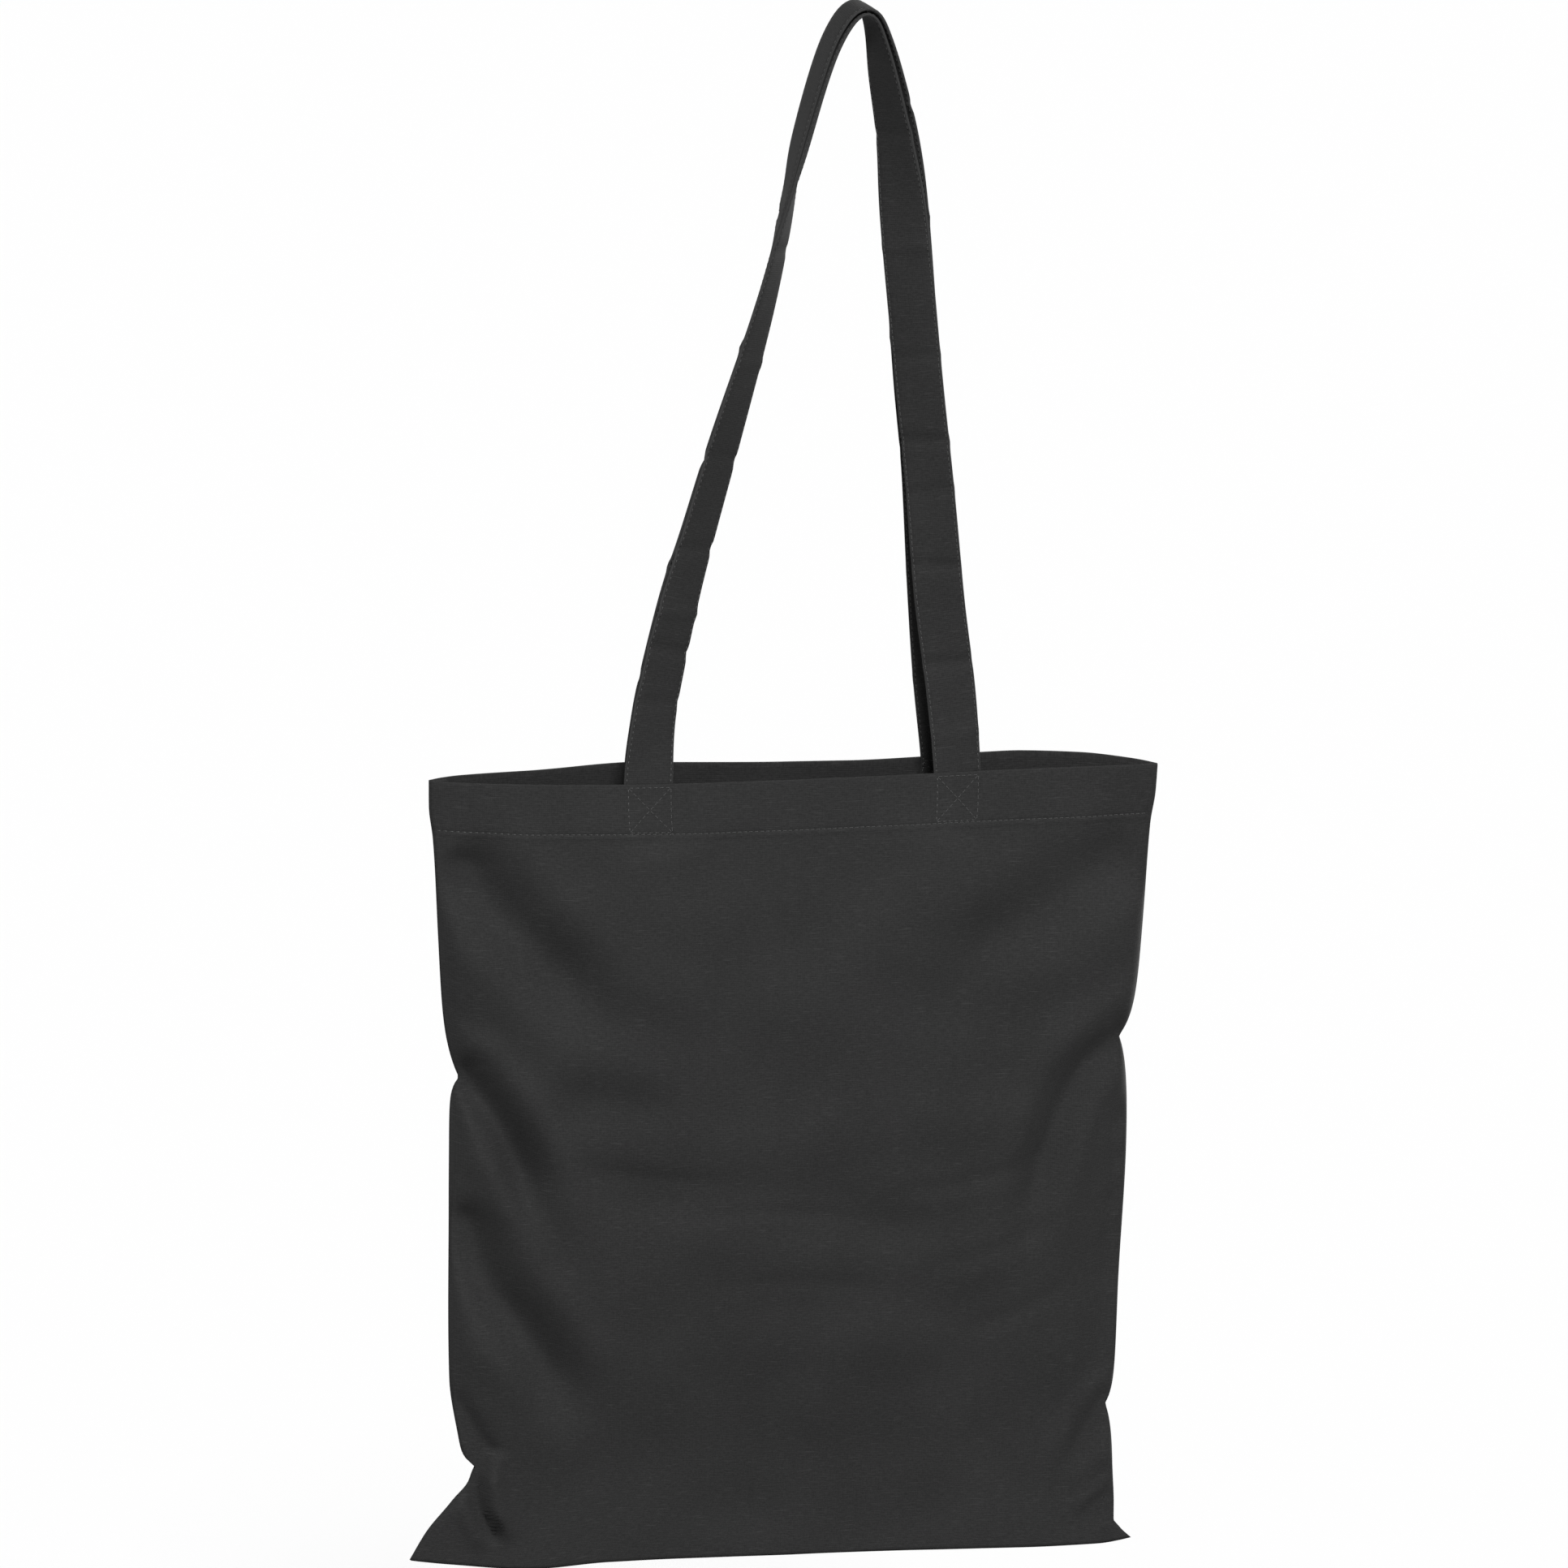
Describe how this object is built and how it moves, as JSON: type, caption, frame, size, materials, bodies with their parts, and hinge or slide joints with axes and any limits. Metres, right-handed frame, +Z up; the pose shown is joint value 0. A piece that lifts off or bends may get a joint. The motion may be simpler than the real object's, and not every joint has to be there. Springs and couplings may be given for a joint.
{
  "type": "canvas tote bag",
  "caption": "Black cotton canvas tote bag with two long flat handles, turned hem and box-and-cross stitched handle ends, hanging open at the mouth.",
  "frame": {"origin": "the hang point: middle of the underside of the front handle loop at its top, where a hook or a hand bears", "axes": "+Z up, the front panel faces -Y, +X runs to the right along the rim as seen from the front"},
  "size_m": [0.376, 0.0638, 0.792],
  "materials": {
    "canvas": "plain-weave black cotton, matt",
    "strap": "folded plain-weave black cotton, matt",
    "sewing_thread": "black spun sewing thread, slightly glossy",
    "overlock_thread": "fluffy black overlock thread"
  },
  "bodies": {
    "bag_front": {"front_panel": "canvas", "front_hem_stitch": "sewing_thread", "front_handle_left_end": "strap", "front_handle_right_end": "strap", "front_box_stitch_left": "sewing_thread", "front_box_stitch_right": "sewing_thread", "left_side_seam": "overlock_thread", "right_side_seam": "overlock_thread", "bottom_seam": "overlock_thread"},
    "front_loop": {"front_handle": "strap", "front_handle_inner_stitch": "sewing_thread", "front_handle_outer_stitch": "sewing_thread"},
    "bag_back": {"back_panel": "canvas", "back_hem_stitch": "sewing_thread", "back_handle_left_end": "strap", "back_handle_right_end": "strap", "back_box_stitch_left": "sewing_thread", "back_box_stitch_right": "sewing_thread"},
    "back_loop": {"back_handle": "strap", "back_handle_inner_stitch": "sewing_thread", "back_handle_outer_stitch": "sewing_thread"}
  },
  "joints": [
    {"name": "front_handle_fold", "type": "hinge", "parent": "bag_front", "child": "front_loop", "pos_m": [-0.021, -0.01519, -0.3847], "axis": [0.9976, 0.0686, 0], "range_deg": [0, 158]},
    {"name": "mouth_open", "type": "hinge", "parent": "bag_front", "child": "bag_back", "pos_m": [-0.022, 0, -0.7857], "axis": [-1, 0, 0], "range_deg": [0, 8]},
    {"name": "back_handle_fold", "type": "hinge", "parent": "bag_back", "child": "back_loop", "pos_m": [-0.0155, 0.02154, -0.3847], "axis": [-1, 0.0073, 0], "range_deg": [0, 158]}
  ]
}
